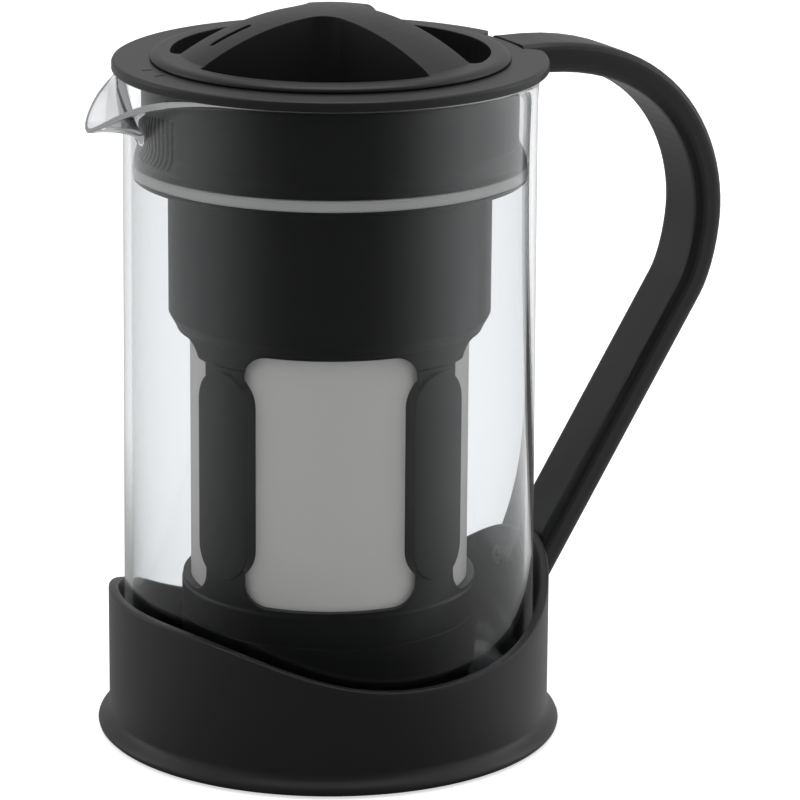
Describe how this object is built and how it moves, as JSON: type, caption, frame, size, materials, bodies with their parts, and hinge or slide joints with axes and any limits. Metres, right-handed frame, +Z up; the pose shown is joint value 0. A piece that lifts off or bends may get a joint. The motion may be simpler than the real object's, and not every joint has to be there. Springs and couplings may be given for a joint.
{
  "type": "cold brew coffee maker",
  "caption": "Glass carafe in a black wavy-rimmed holder with a strap handle, a lid with a turning three-spoke cap, and a removable mesh filter hanging inside for cold brew coffee.",
  "frame": {"origin": "Centre of the underside, on the surface that the coffee maker stands on, under the axis of the glass.", "axes": "+X points from the axis to the handle and -X to the spout, +Z is up, and +Y follows by the right-hand rule."},
  "size_m": [0.1866, 0.1262, 0.1984],
  "materials": {
    "clear_glass": "clear, glossy",
    "black_plastic": "satin moulded",
    "foot_rubber": "matte",
    "seal_silicone": "translucent silicone, satin",
    "screw_steel": "plain",
    "fine_mesh": "very fine woven mesh, satin"
  },
  "bodies": {
    "carafe": {"glass_carafe": "clear_glass", "base_holder": "black_plastic", "foot_pad": "foot_rubber", "glass_seat": "foot_rubber", "handle": "black_plastic", "handle_screws": "screw_steel"},
    "lid": {"lid_body": "black_plastic", "lid_gasket": "seal_silicone"},
    "cap": {"lid_cap": "black_plastic", "shutter_ring": "black_plastic", "cap_seal": "seal_silicone"},
    "filter": {"filter_sleeve": "black_plastic", "sleeve_seal": "seal_silicone", "filter_frame": "black_plastic", "mesh_screen": "fine_mesh"},
    "cup": {"filter_cup": "black_plastic", "cup_seal": "seal_silicone"}
  },
  "joints": [
    {"name": "lid_lift", "type": "slide", "parent": "carafe", "child": "lid", "axis": [0, 0, 1], "range_m": [0, 0.18]},
    {"name": "cap_turn", "type": "hinge", "parent": "lid", "child": "cap", "pos_m": [0, 0, 0.185], "axis": [0, 0, 1], "range_deg": [0, 60]},
    {"name": "filter_twist", "type": "hinge", "parent": "lid", "child": "filter", "pos_m": [0, 0, 0.157], "axis": [0, 0, 1], "range_deg": [0, 60]},
    {"name": "cup_twist", "type": "hinge", "parent": "filter", "child": "cup", "pos_m": [0, 0, 0.034], "axis": [0, 0, 1], "range_deg": [0, 60]}
  ]
}
